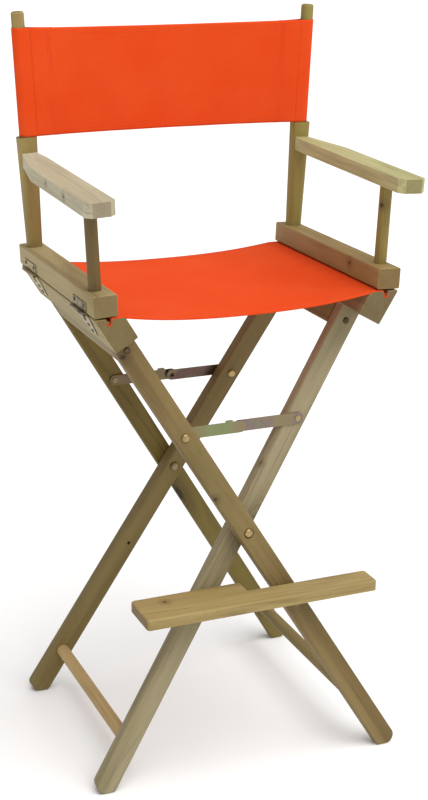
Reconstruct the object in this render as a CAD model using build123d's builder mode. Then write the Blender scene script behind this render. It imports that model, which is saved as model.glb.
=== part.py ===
from build123d import *
import os
from math import atan, cos, degrees, radians, sin, tan

os.makedirs("parts", exist_ok=True)

# Crossed frames. A runs from top left to bottom right, B from top right to bottom left.
crossing_z = 400.0
leg_angle = 31.25  # each leg from upright, seen from the front
splay = 5.0  # the front and rear frames lean apart towards the floor
leg_width = 34.0
leg_thick = 22.0
pair_gap = 8.0  # between the outer and the inner leg of a crossed pair
crossing_half_depth = 183.0  # from the middle to the outer legs' faces at the crossing
leg_round = 2.5
toe_round = 14.0
heel_round = 5.0

# Seat rails and what holds the legs together
seat_z = 762.0
rail_thick = 40.0
rail_half_length = 184.0
rail_foot = 375.0  # from the crossing along the leg to the seat rail's underside
cross_rail = 34.0
stretcher_down = 380.0  # from the crossing along the leg to the bottom stretcher
stretcher_radius = 10.5
tenon_radius = 6.0
tenon_length = 14.0
fit = 0.05  # radial clearance of everything that goes into a hole
air = 0.3

# Seat cloth
cloth = 1.2
groove_x = 220.8
groove_z = 755.5
dowel_radius = 2.5
seat_sag = 12.0
back_bottom = 208.0
back_top = 373.0

# Arm assembly, in the leaned frame whose origin is on the hinge side of the seat
arm_x = 244.0
arm_z = 763.0
arm_lean = 2.65
arm_rail_width = 37.0
arm_rail_low = 1.0
arm_rail_high = 33.0
post_x = -18.0
rear_post_y = 156.0
front_post_y = -147.0
front_post_radius = 9.5
post_depth = 22.0
post_base = 23.0
post_shoulder = 31.0
shoulder_height = 207.0
back_tenon_radius = 10.0
back_tenon_top = 397.0
rest_low = 152.0
rest_thick = 21.0
rest_rise = 1.6
rest_outer = 12.0
rest_inner = -32.5
rest_front = -218.0
rest_rear = 144.0

# Stays, footrest and hinges
stay_up = 191.0  # from the crossing along the leg to a stay's pivot
stay_thick = 1.8
stay_half_width = 9.0
plank_top = 311.0
plank_thick = 17.5
plank_left = -187.0
plank_right = 197.0
plank_step = -6.0
plank_front = -239.0
plank_rear_wide = -163.4
plank_rear_narrow = -195.4
pivot_drop = 24.0  # from the plank's underside down to its pivot
hinge_offset = 3.5  # from the wood's face out to the pin
pin_radius = 1.8
knuckle_radius = 3.3
leaf_thick = 1.5
hinge_length = 60.0
hinge_at = (-123.0, 123.0)

# The middle plane between the front and rear frames, set so that the footrest's edge
# and the rear feet are equally far from the origin.
foot_reach = crossing_half_depth + (crossing_z - leg_round) * tan(radians(splay))
mid_y = (-plank_front - foot_reach) / 2
mid_plane = Plane.XZ.offset(-mid_y)
floor_rake = radians(splay)

# Angles and lengths as they are in the plane of a pair of legs
pair_angle = degrees(atan(tan(radians(leg_angle)) * cos(floor_rake)))
front_face = Plane(
    origin=(0, mid_y - crossing_half_depth, crossing_z),
    x_dir=(1, 0, 0),
    z_dir=(0, -cos(floor_rake), sin(floor_rake)),
)
inner_depth = leg_thick + pair_gap
arm_frame = Plane(
    origin=(arm_x, mid_y, arm_z),
    x_dir=(cos(radians(arm_lean)), 0, -sin(radians(arm_lean))),
    z_dir=(sin(radians(arm_lean)), 0, cos(radians(arm_lean))),
)


def on_leg(s, u=0.0):
    """A point on frame B's centreline in the XZ plane, s up the leg and u out of it."""
    a = radians(leg_angle)
    return (s * sin(a) + u * cos(a), crossing_z + s * cos(a) - u * sin(a))


def in_pair(s, side):
    """The same point in the plane of a pair of legs, side 1 for B and -1 for A."""
    x, z = on_leg(s)
    return (side * x, (z - crossing_z) / cos(floor_rake))


def rods(plane, spots, radius, start, end):
    """Round bars square to a plane, from start to end along its normal."""
    with BuildPart() as bars:
        with BuildSketch(plane.offset(start)):
            with Locations(*spots):
                Circle(radius)
        extrude(amount=end - start)
    return bars.part


def domed(plane, spots, shank, length, head, height):
    """Bolts or screws whose domed heads sit on a plane."""
    with BuildPart() as bolts:
        add(rods(plane, spots, shank, -length, 0))
        add(rods(plane, spots, head, 0, height))
        crowns = bolts.edges().filter_by(GeomType.CIRCLE).group_by(Axis(plane.origin, plane.z_dir))[-1]
        fillet(crowns, height * 0.8)
    return bolts.part


def opposite(part, plane):
    """The mirrored twin of a part."""
    with BuildPart() as twin:
        mirror(part, about=plane)
    return twin.part


def both(part, plane):
    """A part and its mirrored twin as one group."""
    with BuildPart() as pair:
        add(part)
        mirror(part, about=plane)
    return pair.part


pieces = {}

# Legs of the front pair; the rear pair mirrors them.
bolt_radius = 4.0
bolt_head = 7.0
spotface = 8.5
crossing = (0, crossing_z)
bolt_seat = mid_y - crossing_half_depth + 0.9
bolt_plane = Plane.XZ.offset(-bolt_seat)
nut_plane = Plane.XZ.offset(-(bolt_seat + 2 * leg_thick + pair_gap - 1.4))
leg_screw_spot = on_leg(rail_foot - 18)
leg_screw_y = {
    "outer": mid_y - crossing_half_depth + (leg_screw_spot[1] - crossing_z) * tan(floor_rake) + 0.6,
}
leg_screw_y["inner"] = leg_screw_y["outer"] + inner_depth / cos(floor_rake)
stretcher_x, stretcher_z = on_leg(-stretcher_down)
rail_low_x, rail_low_z = on_leg(rail_foot)
stay_pivot = {-1: in_pair(stay_up, -1), 1: in_pair(stay_up, 1)}
pivot_z = plank_top - plank_thick - pivot_drop
pivot_s = (pivot_z - crossing_z) / cos(radians(leg_angle))
foot_pivot = in_pair(pivot_s, 1)
peg_radius = 5.0
peg_z = plank_top - plank_thick - air - peg_radius
peg_x = (crossing_z - peg_z) * tan(radians(leg_angle))
peg_back = mid_y - crossing_half_depth + (peg_z - crossing_z) * tan(floor_rake) + 12
peg_plane = Plane.XZ.offset(-peg_back)


def leg(depth, side):
    """A leg whose front face is this deep in the pair, side -1 for A and 1 for B."""
    sign = "outer" if depth == 0 else "inner"
    rail_seat = Plane(
        origin=(side * rail_low_x, 0, rail_low_z),
        z_dir=(side * sin(radians(leg_angle)), 0, cos(radians(leg_angle))),
    )
    level = (depth + leg_thick / 2) * tan(floor_rake)
    with BuildPart() as bar:
        with BuildSketch(front_face.offset(-depth)):
            with Locations((0, level)):
                Rectangle(leg_width, 1100, rotation=-side * pair_angle)
        extrude(amount=-leg_thick)
        split(bisect_by=Plane.XY, keep=Keep.TOP)
        sole = bar.faces().sort_by(Axis.Z)[0]
        corners = sole.edges().sort_by(Edge.length)[0:2].sort_by(Axis.X)
        toe = corners[-1] if side < 0 else corners[0]
        heel = corners[0] if side < 0 else corners[-1]
        toe_at = toe.center()
        fillet(heel, heel_round)
        fillet(bar.edges().sort_by_distance(toe_at)[0], toe_round)
        rims = bar.edges().filter_by(lambda e: e.length > 500)
        fillet(rims, leg_round)
        split(bisect_by=rail_seat, keep=Keep.BOTTOM)
        # crossing bolt and its spotface
        add(rods(bolt_plane, [crossing], bolt_radius + fit, -80, 20), mode=Mode.SUBTRACT)
        if depth == 0:
            add(rods(bolt_plane, [crossing], spotface, 0, 20), mode=Mode.SUBTRACT)
        else:
            add(rods(nut_plane, [crossing], spotface, -20, 0), mode=Mode.SUBTRACT)
        # screw into the cross rail, and the stretcher's tenon
        screw_plane = Plane.XZ.offset(-leg_screw_y[sign])
        spot = (side * leg_screw_spot[0], leg_screw_spot[1])
        add(rods(screw_plane, [spot], 2.5 + fit, -60, 20), mode=Mode.SUBTRACT)
        add(rods(screw_plane, [spot], 5.5, 0, 20), mode=Mode.SUBTRACT)
        rear_y = mid_y - crossing_half_depth + (stretcher_z - crossing_z) * tan(floor_rake)
        rear_y = rear_y + (depth + leg_thick) / cos(floor_rake)
        tenon_plane = Plane.XZ.offset(-rear_y)
        tenon_spot = (side * stretcher_x, stretcher_z)
        add(rods(tenon_plane, [tenon_spot], tenon_radius + fit, -30, tenon_length + 1), mode=Mode.SUBTRACT)
        # stay pivot
        add(rods(front_face, [stay_pivot[side]], 3 + fit, -80, 10), mode=Mode.SUBTRACT)
        if depth == 0:
            add(rods(peg_plane, [(peg_x, peg_z)], peg_radius + fit, 0, 44), mode=Mode.SUBTRACT)
        else:
            add(rods(front_face, [foot_pivot], 3 + fit, -80, 10), mode=Mode.SUBTRACT)
    return bar.part


outer_leg = leg(0, -1)
inner_leg = leg(inner_depth, 1)
pieces["front_outer_leg"] = outer_leg
pieces["rear_outer_leg"] = opposite(outer_leg, mid_plane)
pieces["front_inner_leg"] = inner_leg
pieces["rear_inner_leg"] = opposite(inner_leg, mid_plane)

# Spacers and nuts on the crossing bolts
bolt_length = 2 * leg_thick + pair_gap + 4
bolt = domed(bolt_plane, [crossing], bolt_radius, bolt_length, bolt_head, 3.6)
pieces["pivot_bolts"] = both(bolt, mid_plane)
with BuildPart() as spacer:
    with BuildSketch(Plane.XZ.offset(-(bolt_seat + leg_thick + 0.3))):
        with Locations(crossing):
            Circle(9)
            Circle(bolt_radius + fit, mode=Mode.SUBTRACT)
    extrude(amount=-5.8)
pieces["pivot_spacers"] = both(spacer.part, mid_plane)
with BuildPart() as nut:
    with BuildSketch(nut_plane):
        with Locations(crossing):
            RegularPolygon(6.5, 6)
            Circle(bolt_radius + fit, mode=Mode.SUBTRACT)
    extrude(amount=-4.5)
pieces["pivot_nuts"] = both(nut.part, mid_plane)

# Seat rails with the groove for the cloth's hem, made on the right and mirrored to the left
rail_half = rail_thick / 2
leg_a = radians(leg_angle)
top_outer_s = (seat_z - crossing_z + rail_half * sin(leg_a)) / cos(leg_a)
top_inner_s = (seat_z - crossing_z - rail_half * sin(leg_a)) / cos(leg_a)
groove_half = dowel_radius + air + cloth + air
screw_radius = 1.6
outer_slope = Plane(
    origin=(on_leg(top_outer_s, rail_half)[0], mid_y, seat_z),
    x_dir=(0, 1, 0),
    z_dir=(cos(leg_a), 0, -sin(leg_a)),
)
lower_spots = [(0, -14), (0, -25), (0, -36)]
lower_screws = []
upper_screws = []
for y in hinge_at:
    for step, down in lower_spots:
        lower_screws.append((y + step, down))
    for step in (-21, 21):
        upper_screws.append((y + step, 12))

with BuildPart() as seat_rail:
    with BuildSketch(mid_plane):
        with BuildLine():
            Polyline(
                on_leg(rail_foot, rail_half),
                on_leg(top_outer_s, rail_half),
                on_leg(top_inner_s, -rail_half),
                on_leg(rail_foot, -rail_half),
                close=True,
            )
        make_face()
    extrude(amount=rail_half_length, both=True)
    fillet(seat_rail.edges().filter_by(Axis.Y), 2)
    fillet(seat_rail.faces().filter_by(Axis.Y).edges(), 1.2)
    with BuildSketch(mid_plane):
        with Locations((groove_x, groove_z)):
            Circle(groove_half)
        with Locations((groove_x, groove_z + 5)):
            Rectangle(2 * groove_half, 10)
    extrude(amount=rail_half_length + 1, both=True, mode=Mode.SUBTRACT)
    add(rods(outer_slope, lower_screws, screw_radius + fit, -8, 1), mode=Mode.SUBTRACT)
pieces["right_seat_rail"] = seat_rail.part
pieces["left_seat_rail"] = opposite(seat_rail.part, Plane.YZ)

with BuildPart() as hem_dowel:
    with BuildSketch(mid_plane):
        with Locations((groove_x, groove_z)):
            Circle(dowel_radius)
    extrude(amount=rail_half_length - 3, both=True)
pieces["right_seat_dowel"] = hem_dowel.part
pieces["left_seat_dowel"] = opposite(hem_dowel.part, Plane.YZ)


def between_legs(face, level):
    """The cross rail under the right seat rail, cut to lie against its two legs."""
    with BuildPart() as bar:
        with BuildSketch(mid_plane):
            with Locations(on_leg(rail_foot - cross_rail / 2)):
                Rectangle(cross_rail, cross_rail, rotation=-leg_angle)
        extrude(amount=250)
        fillet(bar.edges().filter_by(Axis.Y), 1.5)
        split(bisect_by=face, keep=Keep.BOTTOM)
        screw_plane = Plane.XZ.offset(-leg_screw_y[level])
        add(rods(screw_plane, [leg_screw_spot], 2.5 + fit, -58, 0), mode=Mode.SUBTRACT)
        mirror(about=mid_plane)
    return bar.part


def stretcher(face, depth):
    """The round bar between the left feet of one frame, with a tenon in each leg."""
    front_y = mid_y - crossing_half_depth + (stretcher_z - crossing_z) * tan(floor_rake)
    front_y = front_y + (depth + leg_thick) / cos(floor_rake)
    spot = (stretcher_x, stretcher_z)
    with BuildPart() as bar:
        add(rods(mid_plane, [spot], stretcher_radius, 0, 250))
        split(bisect_by=face, keep=Keep.BOTTOM)
        add(rods(mid_plane, [spot], tenon_radius, 0, mid_y - front_y + tenon_length))
        mirror(about=mid_plane)
    return bar.part


outer_back = front_face.offset(-leg_thick)
inner_back = front_face.offset(-inner_depth - leg_thick)
pieces["right_cross_rail"] = between_legs(inner_back, "inner")
pieces["left_cross_rail"] = opposite(between_legs(outer_back, "outer"), Plane.YZ)
pieces["left_stretcher"] = stretcher(inner_back, inner_depth)
pieces["right_stretcher"] = opposite(stretcher(outer_back, 0), Plane.YZ)

for side, level, name in ((-1, "outer", "left_leg_screws"), (1, "inner", "right_leg_screws")):
    spot = (side * leg_screw_spot[0], leg_screw_spot[1])
    screw = domed(Plane.XZ.offset(-leg_screw_y[level]), [spot], 2.5, 55, 4.5, 2.4)
    pieces[name] = both(screw, mid_plane)

# Stays: each is two straps, on the outer and on the inner leg, riveted at the middle
strap_outer = front_face.offset(-(leg_thick + 0.6))
strap_inner = front_face.offset(-(inner_depth - 0.6 - stay_thick))


def strap(plane, side):
    """A flat link from its leg's pivot to the middle of the stay."""
    x, up = stay_pivot[side]
    with BuildPart() as link:
        with BuildSketch(plane):
            with Locations((x / 2, up)):
                SlotCenterToCenter(abs(x), 2 * stay_half_width)
            if side < 0:
                with Locations((-18, up + stay_half_width)):
                    RectangleRounded(12, 6, 1.5)
            with Locations((x, up)):
                Circle(3 + fit, mode=Mode.SUBTRACT)
            with Locations((0, up)):
                Circle(3 + fit if side < 0 else 3.6, mode=Mode.SUBTRACT)
        extrude(amount=-stay_thick)
    return link.part


stay_left = strap(strap_outer, -1)
stay_right = strap(strap_inner, 1)
pieces["front_stay_left_link"] = stay_left
pieces["front_stay_right_link"] = stay_right
pieces["rear_stay_left_link"] = opposite(stay_left, mid_plane)
pieces["rear_stay_right_link"] = opposite(stay_right, mid_plane)
middle = [(0, stay_pivot[1][1])]
with BuildPart() as rivet:
    add(rods(strap_outer, middle, 3, -stay_thick, 0))
    add(rods(strap_outer, middle, 5.5, -stay_thick - 1.2, -stay_thick))
pieces["front_stay_rivet"] = rivet.part
pieces["rear_stay_rivet"] = opposite(rivet.part, mid_plane)

# Pivot bolts: a domed head on the leg's open face and a peened end over the strap
reach = leg_thick + 0.6 + stay_thick + 0.1
inner_face_back = Plane(inner_back.origin, x_dir=(-1, 0, 0), z_dir=-inner_back.z_dir)


def strap_pivot(plane, spot):
    """A bolt through one leg and one strap."""
    with BuildPart() as bolt:
        add(domed(plane, [spot], 3, reach, 6.5, 3.2))
        add(rods(plane, [spot], 4.6, -reach - 0.9, -reach))
    return bolt.part


pieces["outer_stay_pivots"] = both(strap_pivot(front_face, stay_pivot[-1]), mid_plane)
inner_spot = (-stay_pivot[1][0], stay_pivot[1][1])
pieces["inner_stay_pivots"] = both(strap_pivot(inner_face_back, inner_spot), mid_plane)
pieces["footrest_pivot"] = strap_pivot(inner_face_back, (-foot_pivot[0], foot_pivot[1]))

# Footrest plank, its bracket on the front inner leg and the peg on the outer leg
bracket_half = 22.0
leaf_depth = 26.0
pivot_x = foot_pivot[0]
bracket_y = mid_y + plank_rear_wide - 14
bracket_screws = [(pivot_x - 13, bracket_y), (pivot_x + 13, bracket_y)]
under = Plane.XY.offset(plank_top - plank_thick)
with BuildPart() as plank:
    with BuildSketch(under) as outline:
        with BuildLine():
            Polyline(
                (plank_left, mid_y + plank_front),
                (plank_right, mid_y + plank_front),
                (plank_right, mid_y + plank_rear_narrow),
                (plank_step, mid_y + plank_rear_narrow),
                (plank_step, mid_y + plank_rear_wide),
                (plank_left, mid_y + plank_rear_wide),
                close=True,
            )
        make_face()
        fillet(outline.vertices().group_by(Axis.X)[0], 6)
        fillet(outline.vertices().group_by(Axis.X)[-1], 6)
    extrude(amount=plank_thick)
    fillet(plank.faces().sort_by(Axis.Z)[-1].edges(), 3)
    fillet(plank.faces().sort_by(Axis.Z)[0].edges(), 2)
    add(rods(under, bracket_screws, screw_radius + fit, -1, 12), mode=Mode.SUBTRACT)
pieces["footrest_plank"] = plank.part

flange_top = pivot_drop - 1 + inner_depth * tan(floor_rake)
leaf_at = (pivot_x, mid_y + plank_rear_wide - leaf_depth / 2)
with BuildPart() as bracket:
    with BuildSketch(strap_inner):
        with Locations(foot_pivot):
            Circle(11)
        with Locations((pivot_x, foot_pivot[1] + flange_top / 2)):
            Rectangle(22, flange_top)
        with Locations((pivot_x, foot_pivot[1] + flange_top - 4)):
            Rectangle(2 * bracket_half, 8)
        with Locations(foot_pivot):
            Circle(3 + fit, mode=Mode.SUBTRACT)
    extrude(amount=-stay_thick)
    with BuildSketch(under):
        with Locations(leaf_at):
            Rectangle(2 * bracket_half, leaf_depth)
    extrude(amount=-stay_thick)
    add(rods(under, bracket_screws, screw_radius + fit, -5, 5), mode=Mode.SUBTRACT)
pieces["footrest_bracket"] = bracket.part
leaf_under = Plane(origin=(0, 0, plank_top - plank_thick - stay_thick), x_dir=(1, 0, 0), z_dir=(0, 0, -1))
down_spots = [(x, -y) for x, y in bracket_screws]
pieces["footrest_screws"] = domed(leaf_under, down_spots, screw_radius, 12, 3.4, 1.4)

with BuildPart() as peg:
    add(rods(peg_plane, [(peg_x, peg_z)], peg_radius, 0.2, 44))
    chamfer(peg.edges().group_by(Axis.Y)[0], 1)
pieces["footrest_peg"] = peg.part

# Hinges between each seat rail and the arm rail that stands on it
pin_x = arm_x + hinge_offset
side_face = Plane(origin=(arm_x, mid_y, arm_z), x_dir=(0, 1, 0), z_dir=arm_frame.x_dir)
hinge_pin = (pin_x, arm_z)
knuckle_half = 10.0
knuckle_gap = 0.3
hinge_half = hinge_length / 2

with BuildPart() as lower_leaf:
    with BuildSketch(outer_slope) as lower_outline:
        with BuildLine():
            Polyline((-30, 2), (30, 2), (30, -10), (12, -42), (-12, -42), (-30, -10), close=True)
        make_face()
        fillet(lower_outline.vertices().group_by(Axis.Y)[0], 3)
        with Locations(*lower_spots):
            Circle(screw_radius + fit, mode=Mode.SUBTRACT)
    extrude(amount=leaf_thick)
    add(rods(mid_plane, [hinge_pin], knuckle_radius - 0.2, -hinge_half, hinge_half))
    add(rods(mid_plane, [hinge_pin], pin_radius + fit, -40, 40), mode=Mode.SUBTRACT)
    cut = knuckle_half + knuckle_gap
    add(rods(mid_plane, [hinge_pin], knuckle_radius + knuckle_gap, -cut, cut), mode=Mode.SUBTRACT)

with BuildPart() as upper_leaf:
    with BuildSketch(side_face):
        with Locations((0, 8.5)):
            RectangleRounded(hinge_length, 17, 2)
        with Locations((-21, 12), (21, 12)):
            Circle(screw_radius + fit, mode=Mode.SUBTRACT)
    extrude(amount=leaf_thick)
    add(rods(mid_plane, [hinge_pin], knuckle_radius, -knuckle_half, knuckle_half))
    add(rods(mid_plane, [hinge_pin], pin_radius + fit, -40, 40), mode=Mode.SUBTRACT)
    for low, high in ((-40, -knuckle_half), (knuckle_half, 40)):
        add(rods(mid_plane, [hinge_pin], knuckle_radius + knuckle_gap, low, high), mode=Mode.SUBTRACT)

with BuildPart() as hinge_pins:
    for y in hinge_at:
        add(rods(mid_plane, [hinge_pin], pin_radius, -y - hinge_half, -y + hinge_half))
for y, end in zip(hinge_at, ("front", "rear")):
    for leaf, level in ((lower_leaf, "lower"), (upper_leaf, "upper")):
        with BuildPart() as placed:
            with Locations((0, y, 0)):
                add(leaf.part)
        pieces[f"right_{end}_hinge_{level}_leaf"] = placed.part
        pieces[f"left_{end}_hinge_{level}_leaf"] = opposite(placed.part, Plane.YZ)

lower_heads = domed(outer_slope.offset(leaf_thick), lower_screws, screw_radius, 9, 3.2, 1.3)
upper_heads = domed(side_face.offset(leaf_thick), upper_screws, screw_radius, 14, 3.2, 1.3)
for part, name in (
    (hinge_pins.part, "hinge_pins"),
    (lower_heads, "hinge_lower_screws"),
    (upper_heads, "hinge_upper_screws"),
):
    pieces[f"right_{name}"] = part
    pieces[f"left_{name}"] = opposite(part, Plane.YZ)

# Arm assembly on the right: rail, two posts and the rest
front_spot = (post_x + 2, front_post_y)
rear_spot = (post_x, rear_post_y)
rest_frame = Plane(arm_frame.location * Location((0, rest_front, rest_low), (rest_rise, 0, 0)))
post_tenon = 7.0
with BuildPart() as arm_rail:
    with BuildSketch(arm_frame.offset(arm_rail_low)):
        with Locations((-arm_rail_width / 2, 0)):
            Rectangle(arm_rail_width, 2 * rail_half_length)
    extrude(amount=arm_rail_high - arm_rail_low)
    fillet(arm_rail.edges().filter_by(Axis.Y), 2.5)
    fillet(arm_rail.faces().filter_by(Axis.Y).edges(), 1.5)
    top = arm_frame.offset(arm_rail_high)
    add(rods(top, [front_spot, rear_spot], post_tenon + fit, -tenon_length - 1, 1), mode=Mode.SUBTRACT)
    add(rods(side_face, upper_screws, screw_radius + fit, -15, 1), mode=Mode.SUBTRACT)

with BuildPart() as front_post:
    add(rods(arm_frame, [front_spot], front_post_radius, arm_rail_high, 200))
    split(bisect_by=rest_frame, keep=Keep.BOTTOM)
    add(rods(arm_frame, [front_spot], post_tenon, arm_rail_high - tenon_length, rest_low + 12))

with BuildPart() as rear_post:
    with BuildSketch(arm_frame.offset(arm_rail_high)):
        with Locations(rear_spot):
            RectangleRounded(post_base, post_depth, 7)
    with BuildSketch(arm_frame.offset(shoulder_height)):
        with Locations(rear_spot):
            RectangleRounded(post_shoulder, post_depth, 7)
    loft()
    add(rods(arm_frame, [rear_spot], post_tenon, arm_rail_high - tenon_length, arm_rail_high + 5))
    add(rods(arm_frame, [rear_spot], back_tenon_radius, shoulder_height - 5, back_tenon_top))
    fillet(rear_post.edges().filter_by(GeomType.CIRCLE).group_by(Axis.Z)[-1], 4)

rest_length = rest_rear - rest_front
with BuildPart() as armrest:
    with BuildSketch(rest_frame) as rest_outline:
        with BuildLine():
            Polyline(
                (rest_inner, 0),
                (rest_outer, 0),
                (rest_outer, 262),
                (post_x + 11, rest_length + 8),
                (post_x - 11, rest_length + 8),
                (rest_inner, rest_length - 40),
                close=True,
            )
        make_face()
        chamfer(rest_outline.vertices().group_by(Axis.Y)[0], 9)
    extrude(amount=rest_thick)
    fillet(armrest.edges().group_by(Axis.Z)[-1], 3)
    split(bisect_by=Plane.XZ.offset(-(mid_y + rear_post_y - post_depth / 2)), keep=Keep.TOP)
    mortise_end = rest_low + 13
    add(rods(arm_frame, [front_spot], post_tenon + fit, rest_low - 5, mortise_end), mode=Mode.SUBTRACT)

arm_names = ("arm_rail", "front_post", "rear_post", "armrest")
for built, name in zip((arm_rail, front_post, rear_post, armrest), arm_names):
    pieces[f"right_{name}"] = built.part
    pieces[f"left_{name}"] = opposite(built.part, Plane.YZ)

# Seat cloth: hung between the rails, its hems round the dowels in the grooves
cloth_z = seat_z + air + cloth / 2
wrap = dowel_radius + air + cloth / 2
rail_in = on_leg(top_inner_s, -rail_half)[0] + 2
with BuildPart() as seat_canvas:
    with BuildSketch(mid_plane):
        with BuildLine():
            sag = ThreePointArc((-rail_in, cloth_z), (0, cloth_z - seat_sag), (rail_in, cloth_z))
        trace(line_width=cloth)
        for side in (-1, 1):
            with BuildLine():
                flat = Line((side * rail_in, cloth_z), (side * (groove_x - wrap), cloth_z))
                drop = Line(flat @ 1, (side * (groove_x - wrap), groove_z))
                far = side * (groove_x + wrap)
                turn = ThreePointArc(drop @ 1, (side * groove_x, groove_z - wrap), (far, groove_z))
                Line(turn @ 1, (far, groove_z + 3))
            trace(line_width=cloth)
    extrude(amount=rail_half_length, both=True)
pieces["seat_canvas"] = seat_canvas.part

# Back cloth: a sheet across the fronts of the tenons with a sleeve round each
sleeve = back_tenon_radius + air
with BuildPart() as back_canvas:
    corners = []
    for height in (back_bottom, back_top):
        corners.append(arm_frame.from_local_coords((post_x, 0, height)))
    sheet_y = mid_y + rear_post_y - sleeve
    with BuildSketch(Plane.XZ.offset(-sheet_y)):
        with BuildLine():
            Polyline(
                (-corners[0].X, corners[0].Z),
                (corners[0].X, corners[0].Z),
                (corners[1].X, corners[1].Z),
                (-corners[1].X, corners[1].Z),
                close=True,
            )
        make_face()
    extrude(amount=cloth)
    add(rods(arm_frame, [rear_spot], sleeve + cloth, back_bottom, back_top))
    add(rods(arm_frame, [rear_spot], sleeve, back_bottom - 5, back_top + 5), mode=Mode.SUBTRACT)
    split(bisect_by=Plane.YZ, keep=Keep.TOP)
    mirror(about=Plane.YZ)
pieces["back_canvas"] = back_canvas.part

for label, part in pieces.items():
    part.label = label
    export_step(part, f"parts/{label}.step")
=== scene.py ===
from math import cos, pi, radians, sin, tan

import bmesh
import bpy
import numpy as np
from mathutils import Matrix, Vector


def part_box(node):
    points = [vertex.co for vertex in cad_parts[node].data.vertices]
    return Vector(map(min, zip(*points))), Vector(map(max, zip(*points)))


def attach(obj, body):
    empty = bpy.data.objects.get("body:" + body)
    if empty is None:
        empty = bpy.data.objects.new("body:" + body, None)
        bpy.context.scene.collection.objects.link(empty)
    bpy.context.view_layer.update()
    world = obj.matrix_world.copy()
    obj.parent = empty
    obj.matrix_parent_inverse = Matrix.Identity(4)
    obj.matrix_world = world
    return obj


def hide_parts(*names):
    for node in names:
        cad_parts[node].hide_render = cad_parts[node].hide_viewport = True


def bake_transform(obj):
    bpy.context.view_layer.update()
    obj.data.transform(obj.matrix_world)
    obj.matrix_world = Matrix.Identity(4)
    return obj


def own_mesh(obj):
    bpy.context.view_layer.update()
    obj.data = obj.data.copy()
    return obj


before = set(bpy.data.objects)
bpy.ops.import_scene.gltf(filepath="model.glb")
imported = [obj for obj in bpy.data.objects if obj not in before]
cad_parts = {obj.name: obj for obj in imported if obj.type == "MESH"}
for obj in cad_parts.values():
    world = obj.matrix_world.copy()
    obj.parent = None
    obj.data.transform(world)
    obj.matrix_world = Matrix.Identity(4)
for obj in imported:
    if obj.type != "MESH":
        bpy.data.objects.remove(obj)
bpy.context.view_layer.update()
print("frame loaded")


# one value of a material, so that shader maths reads as plain sums
class Socket:
    def __init__(self, finish, out):
        self.finish = finish
        self.out = out

    def maths(self, operation, *others):
        values = dict(enumerate((self, *others)))
        return self.finish.node("ShaderNodeMath", {"operation": operation}, values)[0]

    def __add__(self, other):
        return self.maths("ADD", other)

    def __mul__(self, other):
        return self.maths("MULTIPLY", other)

    def __sub__(self, other):
        return self.maths("SUBTRACT", other)

    def __rsub__(self, other):
        return self.maths("MULTIPLY", -1.0).maths("ADD", other)

    __radd__ = __add__
    __rmul__ = __mul__

    def clamp(self):
        return self.maths("MAXIMUM", 0.0).maths("MINIMUM", 1.0)

    # 0 at low, 1 at high and eased between them; low may be the greater
    def step(self, low, high):
        values = {"Value": self, "From Min": low, "From Max": high}
        return self.finish.node("ShaderNodeMapRange", {"interpolation_type": "SMOOTHSTEP"}, values)[0]

    def shade(self, low, high, strength):
        return self.step(low, high) * strength


# one material and the nodes that make it
class Finish:
    def __init__(self, name, metallic=0.0, specular=0.5):
        self.material = bpy.data.materials.new(name)
        self.material.use_nodes = True
        self.tree = self.material.node_tree
        self.shader = self.tree.nodes["Principled BSDF"]
        self.shader.inputs["Metallic"].default_value = metallic
        self.shader.inputs["Specular IOR Level"].default_value = specular

    # settings first, then the sockets by name or by order; gives the node's outputs
    def node(self, kind, settings=None, sockets=None):
        made = self.tree.nodes.new(kind)
        for key, value in (settings or {}).items():
            setattr(made, key, value)
        for key, value in (sockets or {}).items():
            shown = [slot for slot in made.inputs if slot.enabled]
            slot = shown[key] if isinstance(key, int) else next(s for s in shown if s.name == key)
            if isinstance(value, Socket):
                self.tree.links.new(value.out, slot)
            else:
                slot.default_value = (*value, 1.0) if slot.type == "RGBA" else value
        return [Socket(self, out) for out in made.outputs if out.enabled]

    def coords(self, source="Object"):
        return self.node("ShaderNodeTexCoord")[("Generated", "Normal", "UV", "Object").index(source)]

    def mapped(self, vector, place=(0, 0, 0), turn=(0, 0, 0), scale=(1, 1, 1)):
        sockets = {"Vector": vector, "Location": place, "Rotation": turn, "Scale": scale}
        return self.node("ShaderNodeMapping", {"vector_type": "POINT"}, sockets)[0]

    def noise(self, vector, scale=1.0, detail=3.0, rough=0.5, distort=0.0):
        sockets = {"Vector": vector, "Scale": scale, "Detail": detail, "Roughness": rough}
        sockets["Distortion"] = distort
        return self.node("ShaderNodeTexNoise", None, sockets)[0]

    # noise stretched along the grain or the yarn: its scales, detail, roughness and distortion
    def streaks(self, vector, scale, detail=3.0, rough=0.5, distort=0.0):
        return self.noise(self.mapped(vector, scale=scale), 1.0, detail, rough, distort)

    def split(self, vector):
        return self.node("ShaderNodeSeparateXYZ", None, {"Vector": vector})

    def mix(self, share, first, second, blend="MIX"):
        settings = {"data_type": "RGBA", "blend_type": blend}
        return self.node("ShaderNodeMix", settings, {"Factor": share, "A": first, "B": second})[0]

    def bump(self, height, strength, distance):
        sockets = {"Strength": strength, "Distance": distance, "Height": height}
        self.feed(Normal=self.node("ShaderNodeBump", None, sockets)[0])

    def feed(self, **sockets):
        for key, value in sockets.items():
            self.tree.links.new(value.out, self.shader.inputs[key.replace("_", " ")])
        return self.material


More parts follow.
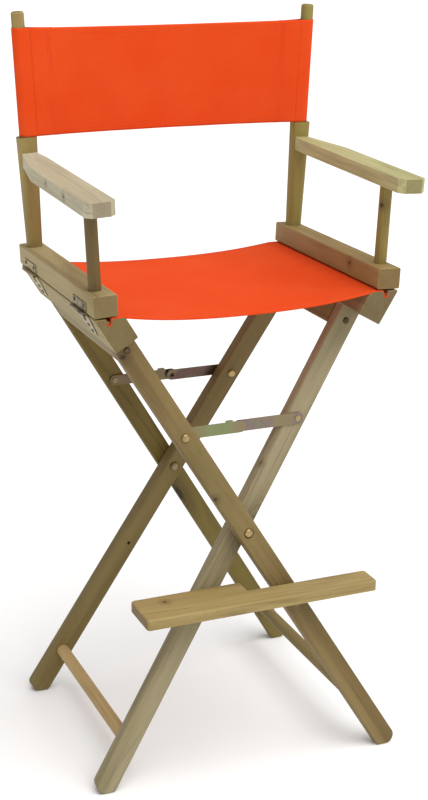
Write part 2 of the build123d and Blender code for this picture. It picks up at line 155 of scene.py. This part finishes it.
# oiled hardwood: grain scales run along, across and through each piece, per metre
wood = {
    "pale": (0.50, 0.395, 0.205),
    "mid": (0.375, 0.28, 0.125),
    "dark": (0.20, 0.135, 0.058),
    "green": (0.27, 0.235, 0.10),
    "knot": (0.085, 0.048, 0.024),
    "specular": 0.35,
    "spread": (1.37, 0.71, 0.43),  # how far apart the pieces are cut from the board
    "sweep": ((2.2, 16, 16), 3.0, 0.55, 0.6),
    "lines": ((3.5, 95, 95), 4.0, 0.6, 0.9),
    "pores": ((38, 900, 900), 2.0, 0.6),
    "cloud": ((5, 22, 22), 2.0),
    "rough": ((120, 160, 160), 2.0),
    # where each shade starts, where it is full and how strong it is
    "sweepShade": (0.34, 0.68, 1.0),
    "lineShade": (0.46, 0.80, 0.75),
    "cloudShade": (0.50, 0.80, 0.45),
    "poreShade": (0.60, 0.74, 0.45),
    "endShade": (0.80, 0.95, 0.75),
    "relief": (0.5, 0.9, 0.6),  # of the pores, the lines and the small knots
    "bump": (0.35, 0.0008),
    "roughness": (0.15, 0.2, 0.46),  # from the pores, from the cloud, and everywhere
}
# small knots scattered by chance
scatter = {
    "cells": (4.6, 15, 15),
    "share": 0.17,
    "soft": 0.02,
    "wobble": 0.05,
    "core": (0.12, 0.05),
    "halo": (0.42, 0.10),
    "rings": 120.0,
    "ringWobble": 3.0,
    "ringShare": (0.45, 0.35),
    "coreShare": 0.92,
}
# knots that show: place as shares of the piece's box, radius in metres
knots = {
    "left_armrest": (((0.011, 0.508, 0.539), 0.0030), ((0.016, 0.279, 0.399), 0.0040)),
    "right_arm_rail": (((0.940, 0.632, 0.956), 0.0035), ((0.021, 0.261, 0.639), 0.0050)),
    "right_front_post": (((0.213, 0.273, 0.722), 0.0050),),
    "front_outer_leg": (((0.038, 0.709, 0.954), 0.0060), ((0.336, 0.471, 0.632), 0.0040)),
    "footrest_plank": (((0.123, 0.685, 1.0), 0.0045),),
    "front_inner_leg": (((0.627, 0.550, 0.679), 0.0035),),
}
knotLook = {"halo": (3.5, 0.8, 0.55), "core": (1.0, 0.4, 0.9)}  # radii where it starts and is full, strength


# the middle of a piece, its long way and its next
def grainAxes(node):
    points = np.array([v.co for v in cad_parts[node].data.vertices], float)
    low, high = points.min(axis=0), points.max(axis=0)
    _, _, axes = np.linalg.svd(points - points.mean(axis=0), full_matrices=False)
    return Vector((low + high) / 2), Vector(axes[0]), Vector(axes[1])


def placedKnots(finish, node, rough, colour):
    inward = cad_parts[node].matrix_world.inverted()
    low, high = (Vector(corner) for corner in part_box(node))
    for shares, radius in knots.get(node, ()):
        middle = low + (high - low) * Vector(shares)
        ends = {0: finish.coords(), 1: tuple(inward @ middle)}
        away = finish.node("ShaderNodeVectorMath", {"operation": "DISTANCE"}, ends)[0]
        away = away + (rough - 0.5) * radius
        for part, shade in (("halo", "dark"), ("core", "knot")):
            start, full, strength = knotLook[part]
            dimmed = away.shade(radius * start, radius * full, strength)
            colour = finish.mix(dimmed, colour, wood[shade])
    return colour


def woodFinish(node, seed, tint, share):
    centre, along, across = grainAxes(node)
    if along[int(np.argmax(np.abs(along)))] < 0:
        along = -along
    across = (across - along * across.dot(along)).normalized()
    turn = Matrix((along, across, along.cross(across)))
    finish = Finish("wood_" + node, specular=wood["specular"])
    shift = Vector(wood["spread"]) * seed - turn @ centre
    p = finish.mapped(finish.coords(), shift, turn.to_euler())
    layers = ("sweep", "lines", "pores", "cloud", "rough")
    sweep, lines, pores, cloud, rough = (finish.streaks(p, *wood[layer]) for layer in layers)

    cells = {"Vector": finish.mapped(p, scale=scatter["cells"]), "Scale": 1.0}
    spots, chance = finish.node("ShaderNodeTexVoronoi", {"feature": "F1"}, cells)[:2]
    limit = scatter["share"] * share
    knotted = finish.split(chance)[0].step(limit + scatter["soft"], limit)
    core = (spots + (rough - 0.5) * scatter["wobble"]).step(*scatter["core"]) * knotted
    halo = spots.step(*scatter["halo"]) * knotted
    rings = (spots * scatter["rings"] + rough * scatter["ringWobble"]).maths("SINE") * 0.5 + 0.5
    ringShare, haloShare = scatter["ringShare"]

    colour = finish.mix(sweep.shade(*wood["sweepShade"]), wood["pale"], wood["mid"])
    colour = finish.mix(lines.shade(*wood["lineShade"]), colour, wood["dark"])
    colour = finish.mix(cloud.shade(*wood["cloudShade"]), colour, wood["green"])
    colour = finish.mix(halo * (rings * ringShare + haloShare), colour, wood["dark"])
    colour = finish.mix(core * scatter["coreShare"], colour, wood["knot"])
    colour = placedKnots(finish, node, rough, colour)
    colour = finish.mix(pores.shade(*wood["poreShade"]), colour, wood["dark"])
    facing = finish.split(finish.mapped(finish.coords("Normal"), turn=turn.to_euler()))[0]
    endGrain = facing.maths("ABSOLUTE").shade(*wood["endShade"])
    colour = finish.mix(endGrain, colour, wood["dark"])
    # the piece's tint: its own tone with painted light and shade in it
    colour = finish.mix(1.0, colour, tint, "MULTIPLY")
    poreDepth, lineDepth, knotDepth = wood["relief"]
    finish.bump(pores * poreDepth + lines * lineDepth + core * knotDepth, *wood["bump"])
    fromPores, fromCloud, everywhere = wood["roughness"]
    return finish.feed(Base_Color=colour, Roughness=pores * fromPores + cloud * fromCloud + everywhere)


# plated metal: the passivated colours drift across it
metal = {
    "straw": (0.23, 0.265, 0.125),
    "violet": (0.235, 0.175, 0.165),
    "bronze": (0.27, 0.215, 0.125),
    "brass": (0.42, 0.30, 0.13),
    "plum": (0.135, 0.085, 0.072),
    "tarnish": (0.20, 0.155, 0.09),
    "leaf": (0.21, 0.17, 0.09),
    "leafWorn": (0.31, 0.245, 0.125),
    "screw": (0.105, 0.082, 0.042),
    "soot": (0.045, 0.036, 0.022),
    "grit": (0.05, 0.04, 0.03),
    "drift": (14.0, 3.0, 0.6, 0.8),  # scale, detail, roughness, distortion
    "patch": (45.0, 3.0, 0.6, 0.4),
    "grain": (900.0, 2.0),
    "driftShade": (0.40, 0.60, 1.0),
    "patchShade": (0.50, 0.72, 0.7),
    "gritShade": (0.58, 0.75, 0.4),
    "bump": (0.2, 0.0003),
    "roughness": (0.25, 0.15, 0.20),  # from the patches, from the drift, and everywhere
}


def metalFinish(name, first, second, third, seed):
    finish = Finish(name, metallic=1.0)
    p = finish.mapped(finish.coords(), (seed, seed * 2, 0))
    drift, patch, grain = (finish.noise(p, *metal[layer]) for layer in ("drift", "patch", "grain"))
    colour = finish.mix(drift.shade(*metal["driftShade"]), metal[first], metal[second])
    colour = finish.mix(patch.shade(*metal["patchShade"]), colour, metal[third])
    colour = finish.mix(grain.shade(*metal["gritShade"]), colour, metal["grit"])
    finish.bump(grain + patch, *metal["bump"])
    fromPatch, fromDrift, everywhere = metal["roughness"]
    return finish.feed(Base_Color=colour, Roughness=patch * fromPatch + drift * fromDrift + everywhere)


cloth = {
    "lit": (0.74, 0.066, 0.010),
    "deep": (0.58, 0.044, 0.006),
    "faded": (0.76, 0.082, 0.016),
    "specular": 0.06,
    "threads": 1150.0,  # yarns a metre each way
    "slub": (30, 900, 1),  # thick stretches of yarn
    "slubTurned": (900, 30, 1),
    "cloud": (9.0, 4.0, 0.6),
    "cloudShade": (0.3, 0.7, 1.0),
    "slubShade": (0.55, 0.8, 0.5),
    "turnedShade": (0.55, 0.8, 0.3),
    "weave": (0.6, 0.25),  # height of the crossings, and of over against under
    "between": (0.5, 0.55),  # height below which the yarns' gaps get painted shade, and how much
    "slubDepth": 0.5,
    "bump": (0.45, 0.0006),
    "roughness": (0.12, 0.1, 0.72),  # from the cloud, from the weave, and everywhere
}


def canvasFinish(name):
    finish = Finish(name, specular=cloth["specular"])
    uv = finish.coords("UV")
    u, v, _ = finish.split(uv)
    warp, weft = ((yarn * (cloth["threads"] * pi)).maths("SINE") for yarn in (u, v))
    crossings, overUnder = cloth["weave"]
    weave = warp.maths("ABSOLUTE") * weft.maths("ABSOLUTE") * crossings + warp * weft * overUnder
    slub, slubTurned = (finish.streaks(uv, cloth[layer]) for layer in ("slub", "slubTurned"))
    cloud = finish.noise(uv, *cloth["cloud"])
    level, paintedGapShade = cloth["between"]
    colour = finish.mix(cloud.shade(*cloth["cloudShade"]), cloth["lit"], cloth["faded"])
    slubs = slub.shade(*cloth["slubShade"]) + slubTurned.shade(*cloth["turnedShade"])
    colour = finish.mix(slubs, colour, cloth["deep"])
    # painted shade in the gaps between the yarns, where the weave is low
    colour = finish.mix((level - weave).clamp() * paintedGapShade, colour, cloth["deep"])
    finish.bump(weave + (slub + slubTurned) * cloth["slubDepth"], *cloth["bump"])
    fromCloud, fromWeave, everywhere = cloth["roughness"]
    return finish.feed(Base_Color=colour, Roughness=cloud * fromCloud + weave * fromWeave + everywhere)


yarn = {
    "shade": (0.62, 0.05, 0.01),
    "shine": (0.86, 0.11, 0.02),
    "specular": 0.3,
    "twist": (1500.0, 2.0),
    "twistShade": (0.35, 0.65, 1.0),
    "bump": (0.4, 0.0003),
    "roughness": (0.2, 0.6),
}


def threadFinish(name):
    finish = Finish(name, specular=yarn["specular"])
    twist = finish.noise(finish.coords(), *yarn["twist"])
    colour = finish.mix(twist.shade(*yarn["twistShade"]), yarn["shade"], yarn["shine"])
    finish.bump(twist, *yarn["bump"])
    fromTwist, everywhere = yarn["roughness"]
    return finish.feed(Base_Color=colour, Roughness=twist * fromTwist + everywhere)


canvas = canvasFinish("orange_canvas")
thread = threadFinish("orange_thread")
stayFront = metalFinish("zinc_front", "straw", "bronze", "straw", 1.0)
stayRight = metalFinish("zinc_right", "violet", "bronze", "straw", 2.0)
stayRear = metalFinish("zinc_rear", "plum", "tarnish", "plum", 3.0)
boltBrass = metalFinish("bolt_brass", "brass", "bronze", "tarnish", 4.0)
hingeLeaf = metalFinish("hinge_leaf", "leaf", "leafWorn", "soot", 5.0)
hingeScrew = metalFinish("hinge_screw", "screw", "leaf", "soot", 6.0)

# tint and share of knots of each wooden piece; each tint is partly the piece's own tone and partly painted
# light and shade, lightening pieces that stand in the light, most of all the armrests, and darkening the
# legs in the shade under the seat
pieceToneAndPaintedLight = {
    "front_outer_leg": ((0.42, 0.37, 0.25), 1.3),
    "rear_outer_leg": ((0.36, 0.34, 0.14), 1.6),
    "front_inner_leg": ((0.60, 0.64, 0.71), 1.0),
    "rear_inner_leg": ((0.40, 0.37, 0.23), 1.2),
    "left_seat_rail": ((0.61, 0.61, 0.47), 0.6),
    "right_seat_rail": ((0.57, 0.57, 0.52), 0.8),
    "left_cross_rail": ((0.50, 0.49, 0.35), 0.5),
    "right_cross_rail": ((0.48, 0.49, 0.35), 0.5),
    "left_stretcher": ((0.86, 0.74, 0.61), 0.3),
    "right_stretcher": ((0.51, 0.49, 0.36), 0.3),
    "footrest_plank": ((0.74, 0.70, 0.53), 1.2),
    "footrest_peg": ((0.61, 0.61, 0.54), 0.0),
    "left_seat_dowel": ((0.61, 0.61, 0.54), 0.0),
    "right_seat_dowel": ((0.61, 0.61, 0.54), 0.0),
    "left_arm_rail": ((0.73, 0.72, 0.63), 0.5),
    "right_arm_rail": ((0.73, 0.65, 0.47), 1.1),
    "left_armrest": ((1.10, 1.31, 1.91), 0.7),
    "right_armrest": ((0.95, 1.13, 1.04), 0.6),
    "left_front_post": ((0.36, 0.31, 0.20), 0.4),
    "right_front_post": ((0.59, 0.56, 0.28), 0.4),
    "left_rear_post": ((0.64, 0.59, 0.38), 0.8),
    "right_rear_post": ((0.65, 0.67, 0.35), 0.6),
}
for index, (name, (tint, share)) in enumerate(sorted(pieceToneAndPaintedLight.items())):
    paint = woodFinish(name, index + 1.0, tint, share)
    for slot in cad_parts[name].material_slots:
        slot.material = paint

metals = {
    "front_stay_left_link": stayFront,
    "front_stay_right_link": stayRight,
    "front_stay_rivet": stayFront,
    "rear_stay_left_link": stayRear,
    "rear_stay_right_link": stayRear,
    "rear_stay_rivet": stayRear,
    "pivot_bolts": boltBrass,
    "pivot_nuts": boltBrass,
    "outer_stay_pivots": boltBrass,
    "inner_stay_pivots": boltBrass,
    "footrest_pivot": boltBrass,
}
for name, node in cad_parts.items():
    if name in pieceToneAndPaintedLight or name.endswith("canvas"):
        continue
    for slot in node.material_slots:
        slot.material = metals.get(name, hingeLeaf if name.endswith("leaf") else hingeScrew)
print("finishes on the frame")


def addObject(name, mesh, material, body):
    piece = bpy.data.objects.new(name, mesh)
    bpy.context.scene.collection.objects.link(piece)
    mesh.materials.append(material)
    if body:
        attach(piece, body)
    return piece


def meshFrom(form, name):
    mesh = bpy.data.meshes.new(name)
    form.to_mesh(mesh)
    form.free()
    return mesh


canvasThick = 0.0011


# a grid bent to its shape: place(s, t) gives the point and its spot on the flat cloth
def sheetFrom(name, grid, place, body, flip=False):
    rows, columns = grid
    form = bmesh.new()
    bmesh.ops.create_grid(form, x_segments=columns, y_segments=rows, size=0.5)
    layer = form.loops.layers.uv.new("weave")
    spots = {}
    for v in form.verts:
        v.co, spots[v] = place(v.co.x + 0.5, v.co.y + 0.5)
    for face in form.faces:
        face.smooth = True
        for loop in face.loops:
            loop[layer].uv = spots[loop.vert]
    if flip:
        bmesh.ops.reverse_faces(form, faces=form.faces)
    piece = addObject(name, meshFrom(form, name), canvas, body)
    solid = piece.modifiers.new("thickness", "SOLIDIFY")
    solid.thickness = canvasThick
    solid.offset = 0.0
    return piece


sewing = {
    "length": 0.0032,
    "wide": 0.00075,
    "over": 0.0006,  # above the cloth's middle
    "ahead": 0.002,  # share of the seam ahead that a stitch points at
    "faces": (8, 5),
}


# short raised stitches along a line; place(s) gives the point on the cloth's surface
def stitches(name, count, place, across, body):
    form = bmesh.new()
    slices, rings = sewing["faces"]
    for index in range(count):
        s = (index + 0.5) / count
        point, following = place(s), place(min(1.0, s + sewing["ahead"]))
        run = (following - point).normalized()
        side = across.cross(run).normalized()
        turn = Matrix((run, side, run.cross(side))).transposed().to_4x4()
        size = Matrix.Diagonal((sewing["length"], sewing["wide"], sewing["wide"], 1.0))
        matrix = Matrix.Translation(point) @ turn @ size
        bmesh.ops.create_uvsphere(form, u_segments=slices, v_segments=rings, radius=0.5, matrix=matrix)
    for face in form.faces:
        face.smooth = True
    return addObject(name, meshFrom(form, name), thread, body)


# the seat: over the rails, down into their grooves and round the dowels
seatLow, seatHigh = (Vector(corner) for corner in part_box("seat_canvas"))
dowelLow, dowelHigh = (Vector(corner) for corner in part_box("right_seat_dowel"))
seat = {
    "sags": (0.0155, 0.0125, 0.0105),  # front, middle and rear
    "hang": 2.4,  # how late the sag flattens out towards the rails
    "edgeBow": 0.0035,
    "hem": 0.015,
    "hemReach": 0.985,
    "hemUnder": 0.00125,
    "seams": (0.0022, 0.0128),  # from the edge
    "sideSeam": 0.004,  # outside the rail's inner edge
    "sideEnd": 0.012,
    "skin": 0.0006,
    "wrap": 0.0034,
    "flat": 0.0191,
    "hook": 0.003,
    "pucker": 0.00045,
    "puckers": 64,
    "grid": (70, 190),  # rows front to back, columns across
    "hemGrid": (4, 120),
    "stitches": {"hem": 96, "side": 84},
}
dowelX = (dowelLow.x + dowelHigh.x) / 2
dowelZ = (dowelLow.z + dowelHigh.z) / 2
seatTop = seatHigh.z - seat["skin"]
seatIn = dowelX - seat["wrap"] - seat["flat"]
seatRuns = (seatIn, seat["flat"], seatTop - dowelZ, pi * seat["wrap"], seat["hook"])
seatHalf = sum(seatRuns)
seatDepth = seatHigh.y - seatLow.y


def seatSag(t):
    front, middle, rear = seat["sags"]
    return front * (1 - t) * (1 - 2 * t) + middle * 4 * t * (1 - t) + rear * t * (2 * t - 1)


# the cloth's section at a distance from the middle: x and z
def acrossSeat(run, t):
    side = -1 if run < 0 else 1
    run = abs(run)
    if run <= seatRuns[0]:
        share = run / seatIn
        pucker = seat["pucker"] * sin(t * seat["puckers"]) * share ** 6
        return side * run, seatTop - seatSag(t) * (1 - share ** seat["hang"]) + pucker
    run -= seatRuns[0]
    if run <= seatRuns[1]:
        return side * (seatIn + run), seatTop
    run -= seatRuns[1]
    if run <= seatRuns[2]:
        return side * (dowelX - seat["wrap"]), seatTop - run
    run -= seatRuns[2]
    if run <= seatRuns[3]:
        turn = run / seat["wrap"]
        return side * (dowelX - seat["wrap"] * cos(turn)), dowelZ - seat["wrap"] * sin(turn)
    return side * (dowelX + seat["wrap"]), dowelZ + run - seatRuns[3]


def seatPoint(s, t, under=0.0):
    run = (s * 2 - 1) * seatHalf
    x, z = acrossSeat(run, t)
    bow = seat["edgeBow"] * max(0.0, 1 - (x / seatIn) ** 2)
    y = seatLow.y + t * seatDepth + bow * (1 - 2 * t)
    return Vector((x, y, z - under)), (run, t * seatDepth)


# a place along the open cloth, at a distance in from its front or rear edge
def seatEdge(s, inset, edge, under=0.0):
    reach = seatIn * seat["hemReach"] / seatHalf
    spot = inset / seatDepth
    return seatPoint(0.5 + (s - 0.5) * reach, spot if edge < 0 else 1 - spot, under)


seatCloth = sheetFrom("seat_cloth", seat["grid"], seatPoint, None)
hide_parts("seat_canvas")
seatPieces = [seatCloth]
stitchLift = Vector((0, 0, sewing["over"]))
for edge, label in ((-1, "front"), (1, "rear")):
    def hem(s, t, edge=edge):
        return seatEdge(s, t * seat["hem"], edge, seat["hemUnder"])

    seatPieces.append(sheetFrom("seat_hem_" + label, seat["hemGrid"], hem, None))
    for row, inset in enumerate(seat["seams"]):
        def seam(s, inset=inset, edge=edge):
            return seatEdge(s, inset, edge)[0] + stitchLift

        name = f"seat_stitches_{label}_{row}"
        seatPieces.append(stitches(name, seat["stitches"]["hem"], seam, Vector((0, 1, 0)), None))
for side, label in ((-1, "left"), (1, "right")):
    def sideSeam(s, side=side):
        t = seat["sideEnd"] + s * (1 - 2 * seat["sideEnd"])
        return seatPoint(0.5 + side * (seatIn + seat["sideSeam"]) / seatHalf / 2, t)[0] + stitchLift

    name = "seat_stitches_" + label
    seatPieces.append(stitches(name, seat["stitches"]["side"], sideSeam, Vector((1, 0, 0)), None))
for piece in seatPieces:
    -seatIn
    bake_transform(piece)
2 * seatHalf
print("seat hung")


# the back: a sheet across the fronts of the tenons, with a sleeve round each
backLow, backHigh = (Vector(corner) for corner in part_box("back_canvas"))
postLow, postHigh = (Vector(corner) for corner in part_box("right_rear_post"))
back = {
    "lean": radians(2.65),
    "tenon": 0.010,
    "gap": 0.0008,
    "trim": 0.0008,  # short of the cloth's height at each end
    "sleeveIn": 0.0145,  # from the tenon's middle to where the sleeve meets the sheet
    "plyIn": 0.046,  # to the row of stitches that closes the sleeve
    "plyOver": 0.006,
    "plyApart": (0.0015, 0.0013),
    "ease": 0.0042,
    "easeRun": 0.075,
    "belly": 0.0050,
    "bellyLow": 0.7,
    "drape": (0.0005, 5.0, 60.0),  # height, and how it repeats up and across
    "edgeBow": 0.0016,
    "hem": 0.010,
    "hemSeam": 0.0085,
    "hemReach": 0.985,
    "seamReach": 0.96,
    "hemBehind": 0.00125,
    "sleeveSeams": (0.0, 0.0045),
    "seamEnd": 0.015,
    "stitchFront": -0.0007,
    "stitchRear": 0.0020,
    "folded": 0.15,  # share of the width that is left when the chair is folded
    "grid": (50, 170),  # rows up, columns across
    "sleeveGrid": (50, 44),
    "plyGrid": (50, 16),
    "hemGrid": (3, 110),
    "stitches": {"hem": 108, "sleeve": 40},
}
tenonY = (postLow.y + postHigh.y) / 2
wrapR = back["tenon"] + back["gap"]
topX = postHigh.x - back["tenon"] * cos(back["lean"])
backFoot = backLow.z + back["trim"]
backHeight = backHigh.z - back["trim"] - backFoot


def tenonX(z):
    return topX - (postHigh.z - z) * tan(back["lean"])


def easeIn(share):
    return share * share * (3 - 2 * share)


# where the sheet lies front to back, at a distance in from the tenon
def sheetY(inboard, width, level):
    share = min(1.0, inboard / back["easeRun"])
    belly = back["belly"] * (1 - (1 - inboard / width) ** 2)
    belly *= back["bellyLow"] + (1 - back["bellyLow"]) * level
    rise, upward, across = back["drape"]
    drape = rise * sin(level * upward + inboard * across) * share
    return tenonY - wrapR + back["ease"] * easeIn(share) + belly + drape


# how far the rear ply has come forward to the sheet, at a distance in from the tenon
def plyDrop(inboard, level, width):
    share = min(1.0, inboard / back["plyIn"])
    reach = tenonY + wrapR - sheetY(back["plyIn"], width, level) - back["plyApart"][0]
    return reach * easeIn(share)


def backPoint(s, t):
    z = backFoot + t * backHeight
    width = tenonX(z)
    half = width - back["sleeveIn"]
    x = (s * 2 - 1) * half
    bow = back["edgeBow"] * (1 - (x / half) ** 2)
    return Vector((x, sheetY(width - abs(x), width, t), z - bow * (2 * t - 1))), (x, z)


def sleevePoint(side, s, t):
    z = backFoot + t * backHeight
    width = tenonX(z)
    inner = back["sleeveIn"]
    arc = pi * wrapR
    run = s * (2 * inner + arc)
    if run < inner:
        x, y = width - inner + run, sheetY(inner - run, width, t)
    elif run < inner + arc:
        turn = (run - inner) / wrapR
        x, y = width + wrapR * sin(turn), tenonY - wrapR * cos(turn)
    else:
        behind = run - inner - arc
        x, y = width - behind, tenonY + wrapR - plyDrop(behind, t, width)
    return Vector((side * x, y, z)), (side * (width - inner + run), z)


def plyPoint(side, s, t):
    z = backFoot + t * backHeight
    width = tenonX(z)
    inboard = back["sleeveIn"] + s * (back["plyIn"] + back["plyOver"] - back["sleeveIn"])
    y = max(tenonY + wrapR - plyDrop(inboard, t, width), sheetY(inboard, width, t) + back["plyApart"][1])
    return Vector((side * (width - inboard), y, z)), (side * (width + inboard), z)


backSheet = sheetFrom("back_cloth", back["grid"], backPoint, "left_arm")
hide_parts("back_canvas")
backPieces = [backSheet]
for side, label in ((-1, "left"), (1, "right")):
    def sleevePlace(s, t, side=side):
        return sleevePoint(side, s, t)

    def plyPlace(s, t, side=side):
        return plyPoint(side, s, t)

    flip = side > 0
    sheetFrom("back_sleeve_" + label, back["sleeveGrid"], sleevePlace, label + "_arm", flip)
    backPieces.append(sheetFrom("back_ply_" + label, back["plyGrid"], plyPlace, "left_arm", flip))
    for row, inset in enumerate(back["sleeveSeams"]):
        for face, offset in (("front", back["stitchFront"]), ("rear", back["stitchRear"])):
            def seam(s, side=side, inset=inset, offset=offset):
                z = backFoot + (back["seamEnd"] + s * (1 - 2 * back["seamEnd"])) * backHeight
                width = tenonX(z)
                inboard = back["plyIn"] - inset
                return Vector((side * (width - inboard), sheetY(inboard, width, 0.5) + offset, z))

            name = f"back_stitches_{label}_{face}_{row}"
            count = back["stitches"]["sleeve"]
            backPieces.append(stitches(name, count, seam, Vector((1, 0, 0)), "left_arm"))
for edge, label in ((0, "bottom"), (1, "top")):
    def level(inset, edge=edge):
        return abs(edge - inset / backHeight)

    def hem(s, t, level=level):
        point, cut = backPoint(0.5 + (s - 0.5) * back["hemReach"], level(t * back["hem"]))
        return point + Vector((0, back["hemBehind"], 0)), cut

    def seam(s, level=level):
        point, _ = backPoint(0.5 + (s - 0.5) * back["seamReach"], level(back["hemSeam"]))
        return point + Vector((0, back["stitchFront"], 0))

    backPieces.append(sheetFrom("back_hem_" + label, back["hemGrid"], hem, "left_arm"))
    name = "back_stitches_" + label
    backPieces.append(stitches(name, back["stitches"]["hem"], seam, Vector((0, 0, 1)), "left_arm"))
leftEdge = back["sleeveIn"] - tenonX(backFoot + backHeight / 2)
for piece in backPieces:
    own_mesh(piece)
-2 * leftEdge
print("back hung")


# pale floor, soft overhead light and the camera
studio = {
    "floor": ((0.92, 0.92, 0.915), (0.94, 0.94, 0.935)),
    "floorHalf": 60.0,
    "floorUnder": 0.0005,
    "floorCloud": (0.6, 2.0),
    "floorRoughness": (0.1, 0.6),
    "floorSpecular": 0.2,
    "sky": 0.56,
    "sun": (2.6, radians(60), (-0.20, 0.46, -1.0)),  # strength, softness, the way it shines
    "key": (9, 1.8, (-0.8, -3.8, 2.2), (0, 0, 0.7)),  # power, size, from, towards
}


def addLight(name, kind, energy, place, aim):
    lamp = bpy.data.lights.new(name, kind)
    lamp.energy = energy
    holder = bpy.data.objects.new(name, lamp)
    bpy.context.scene.collection.objects.link(holder)
    holder.location = place
    holder.rotation_euler = Vector(aim).to_track_quat("-Z", "Y").to_euler()
    return lamp


form = bmesh.new()
bmesh.ops.create_grid(form, x_segments=1, y_segments=1, size=studio["floorHalf"])
floor = bpy.data.objects.new("floor", meshFrom(form, "floor"))
bpy.context.scene.collection.objects.link(floor)
floor.location.z = -studio["floorUnder"]
floorFinish = Finish("pale_floor", specular=studio["floorSpecular"])
drift = floorFinish.noise(floorFinish.coords(), *studio["floorCloud"])
paint = floorFinish.mix(drift, *studio["floor"])
fromDrift, everywhere = studio["floorRoughness"]
floor.data.materials.append(floorFinish.feed(Base_Color=paint, Roughness=drift * fromDrift + everywhere))

world = bpy.data.worlds.new("studio")
bpy.context.scene.world = world
world.use_nodes = True
sky = world.node_tree.nodes["Background"]
sky.inputs["Color"].default_value = (1.0, 1.0, 1.0, 1.0)
sky.inputs["Strength"].default_value = studio["sky"]
strength, softness, shines = studio["sun"]
addLight("sun", "SUN", strength, (0, 0, 0), shines).angle = softness
power, size, place, target = studio["key"]
addLight("key", "AREA", power, place, Vector(target) - Vector(place)).size = size

view = {
    "eye": (-0.91641, -2.19182, 1.34871),
    "yaw": radians(-22.76),
    "pitch": radians(18.316),
    "roll": radians(0.357),
    "lens": 70.4997,  # millimetres
    "frame": 36.0,  # height of the frame in millimetres
    "shift": 0.00745,  # sideways, as a share of the frame's height
}
camera = bpy.data.objects.new("camera", bpy.data.cameras.new("camera"))
bpy.context.scene.collection.objects.link(camera)
camera.data.sensor_fit = "VERTICAL"
camera.data.sensor_height = view["frame"]
camera.data.lens = view["lens"]
camera.data.shift_x = view["shift"]
camera.data.dof.use_dof = False
right = Vector((cos(view["yaw"]), sin(view["yaw"]), 0))
level = Vector((-sin(view["yaw"]), cos(view["yaw"]), 0))
forward = level * cos(view["pitch"]) - Vector((0, 0, sin(view["pitch"])))
up = right.cross(forward)
rolledRight = right * cos(view["roll"]) + up * sin(view["roll"])
rolledUp = up * cos(view["roll"]) - right * sin(view["roll"])
basis = Matrix((rolledRight, rolledUp, -forward)).transposed().to_4x4()
camera.matrix_world = Matrix.Translation(view["eye"]) @ basis
bpy.context.scene.camera = camera
bpy.context.scene.view_settings.view_transform = "Standard"
print("camera and lights set")
